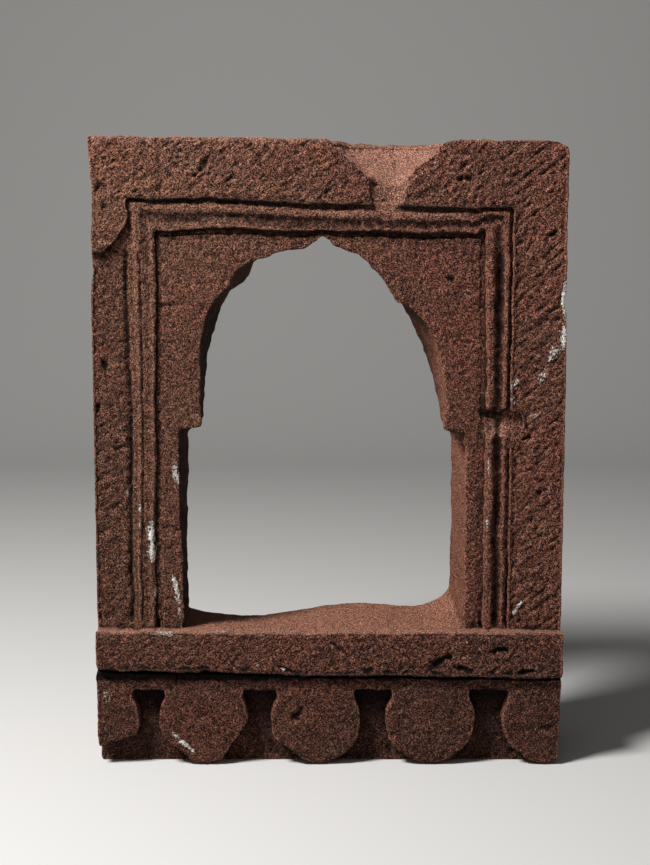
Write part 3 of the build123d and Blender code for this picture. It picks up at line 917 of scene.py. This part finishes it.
def sandstone():
    """Red sandstone: mottled tones, dark pits, pale worn grains, grime and painted shade in the hollows,
    painted shadows and highlights, and old lime.
    """
    m = Nodes("red_sandstone")
    plain = m.place()
    slanted = m.slanted(TOOLING_SLANT, DRAWN_OUT)
    bare_and_lit, lime_amount, dust, slant = [m.number(name) for name in ("bare_and_lit", "lime", "dust", "slant")]
    fine_hump, hump, rubbed_and_lit, dirt_and_shade = [m.number(name) for name in ("fine_hump", "hump", "rubbed_and_lit", "dirt_and_shade")]
    coarse = m.mix(slant, m.noise(plain, COARSE_GRAIN, 1.0, 0.6), m.noise(slanted, COARSE_DRAWN, 1.0, 0.6))
    fine = m.mix(slant, m.noise(plain, FINE_GRAIN, 1.0, 0.6), m.noise(slanted, FINE_DRAWN, 1.0, 0.6))
    mottle = m.noise(plain, 230.0, 3.0, 0.6)
    crumbs = m.noise(plain, 620.0, 3.0, 0.75)
    height = m.math("ADD", m.math("MULTIPLY", coarse, 0.5), m.math("MULTIPLY", fine, 0.5))

    # The stone's tones, the dust, and the places that were laid bare or rubbed, which also carry painted
    # light on faces that look up, a painted highlight on the top's front arris and painted shade on the left
    # reveal
    colour = m.mix(m.ramp(m.noise(plain, 16.0, 3.0), 0.38, 0.62), RED, PURPLE)
    colour = m.mix(m.ramp(m.noise(plain, 60.0, 3.0, 0.6), 0.45, 0.70, 0.0, 0.35), colour, OLIVE)
    colour = m.mix(m.math("MULTIPLY", dust, 0.85), colour, OLIVE)
    colour = m.mix(m.math("MULTIPLY", bare_and_lit, 0.8), colour, BARE_AND_LIT_STONE)
    colour = m.mix(m.math("MULTIPLY", rubbed_and_lit, 0.85), colour, RUBBED_AND_LIT_STONE)
    flecks = m.math("ADD", m.number("fresh"), m.math("MULTIPLY", m.math("SUBTRACT", crumbs, 0.5), 3.0))
    colour = m.mix(m.ramp(flecks, 0.6, 1.1, 0.0, 0.8), colour, FRESH_STONE)

    # Pale grains, most on humps and worn edges
    grains = m.math("MULTIPLY", m.ramp(height, 0.53, 0.61), m.ramp(fine_hump, -0.15, 0.20, 0.45, 1.0))
    colour = m.mix(m.math("MULTIPLY", grains, 0.75), colour, PALE_GRAIN)
    colour = m.mix(m.ramp(mottle, 0.54, 0.70, 0.0, 0.35), colour, PALE_GRAIN)
    colour = m.mix(m.ramp(hump, 0.05, 0.6, 0.0, 0.30), colour, PALE_GRAIN)

    # Grime and painted shade in the pits, grooves and hollows, dark blotches, and the mesh's painted shade
    # and shadows
    soiled_and_shaded = m.math("SUBTRACT", height, m.math("MULTIPLY", dirt_and_shade, 0.06))
    clean = m.math("MAXIMUM", bare_and_lit, rubbed_and_lit)
    pits = m.math("MULTIPLY", m.ramp(soiled_and_shaded, 0.510, 0.435), m.ramp(clean, 0.0, 1.0, 0.96, 0.74))
    blotches = m.ramp(mottle, 0.46, 0.32, 0.0, 0.30)
    small_hollows = m.ramp(fine_hump, -0.02, -0.24, 0.0, 0.65)
    uneven = m.ramp(m.noise(plain, 90.0, 2.0, 0.6), 0.40, 0.60, 0.35, 1.0)
    hollows = m.math("MULTIPLY", m.ramp(hump, -0.12, -1.0, 0.0, 0.65), uneven)
    for share in (pits, blotches, small_hollows, hollows, m.ramp(dirt_and_shade, 0.0, 1.0)):
        colour = m.mix(share, colour, GRIME_AND_SHADE)

    # Old lime, broken up by the grain
    lime = m.math("ADD", lime_amount, m.math("MULTIPLY", m.math("SUBTRACT", crumbs, 0.5), 3.2))
    lime = m.math("MULTIPLY", m.ramp(lime, 0.66, 0.82), m.ramp(lime_amount, 0.05, 0.30))
    colour = m.mix(lime, colour, LIME_WHITE)

    m.put(m.shader.inputs["Base Color"], colour)
    m.put(m.shader.inputs["Roughness"], m.ramp(height, 0.3, 0.7, 0.97, 0.86))
    m.put(m.shader.inputs["Specular IOR Level"], 0.2)

    rough = m.ramp(bare_and_lit, 0.0, 1.0, 1.0, 0.95)
    normal = m.bump(m.math("MULTIPLY", coarse, rough), COARSE_BUMP)
    normal = m.bump(m.math("MULTIPLY", fine, rough), FINE_BUMP, normal)
    normal = m.bump(m.math("MULTIPLY", lime, crumbs), LIME_BUMP, normal)
    m.put(m.shader.inputs["Normal"], normal)
    return m.material


stone.data.materials.clear()
stone.data.materials.append(sandstone())
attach(stone, "root")
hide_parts("carved_stone")

CAMERA_LENS = 67.2
CAMERA_PLACE = (-0.0026, -1.045, 0.3548)
CAMERA_LOOKS_DOWN = 7.81     # degrees
FLOOR_COLOUR = (0.47, 0.46, 0.445)
WORLD_LIGHT = 0.10


def add_camera():
    """The camera, at the photograph's viewing angle."""
    data = bpy.data.cameras.new("camera")
    data.lens = CAMERA_LENS
    camera = bpy.data.objects.new("camera", data)
    camera.location = CAMERA_PLACE
    camera.rotation_euler = (math.radians(90 - CAMERA_LOOKS_DOWN), 0, 0)
    bpy.context.scene.collection.objects.link(camera)
    bpy.context.scene.camera = camera


def plain_material(name, colour, roughness):
    """A material of one colour."""
    material = bpy.data.materials.new(name)
    material.use_nodes = True
    shader = material.node_tree.nodes["Principled BSDF"]
    shader.inputs["Base Color"].default_value = (*colour, 1)
    shader.inputs["Roughness"].default_value = roughness
    return material


def add_stage():
    """A pale floor that sweeps up into a backdrop."""
    half, front, bend, rise, radius, steps = 3.0, -2.5, 1.2, 3.0, 0.6, 12
    profile = [(front, 0.0), (bend, 0.0)]
    for n in range(1, steps + 1):
        a = math.radians(90 * n / steps)
        profile.append((bend + radius * math.sin(a), radius * (1 - math.cos(a))))
    profile.append((bend + radius, rise))
    verts = [(x, y, z) for y, z in profile for x in (-half, half)]
    faces = [(2 * n, 2 * n + 1, 2 * n + 3, 2 * n + 2) for n in range(len(profile) - 1)]
    mesh = bpy.data.meshes.new("floor")
    mesh.from_pydata(verts, [], faces)
    mesh.shade_smooth()
    floor = bpy.data.objects.new("floor", mesh)
    mesh.materials.append(plain_material("pale_floor", FLOOR_COLOUR, 0.9))
    bpy.context.scene.collection.objects.link(floor)


def add_lamp(name, place, aim, size, power):
    """A round soft lamp that looks at a point."""
    data = bpy.data.lights.new(name, "AREA")
    data.shape = "DISK"
    data.size = size
    data.energy = power
    lamp = bpy.data.objects.new(name, data)
    lamp.location = place
    lamp.rotation_euler = (Vector(aim) - Vector(place)).to_track_quat("-Z", "Y").to_euler()
    bpy.context.scene.collection.objects.link(lamp)


def add_world(strength):
    """A plain white surrounding light."""
    world = bpy.data.worlds.new("world")
    bpy.context.scene.world = world
    world.use_nodes = True
    world.node_tree.nodes["Background"].inputs["Color"].default_value = (1, 1, 1, 1)
    world.node_tree.nodes["Background"].inputs["Strength"].default_value = strength


add_camera()
add_stage()
add_lamp("key", place=(-0.60, -0.50, 1.12), aim=(0, 0, 0.25), size=0.34, power=32)
add_lamp("fill", place=(-0.5, -1.8, 0.8), aim=(0, 0, 0.2), size=1.4, power=3)
add_world(WORLD_LIGHT)
bpy.context.scene.view_settings.view_transform = "Standard"
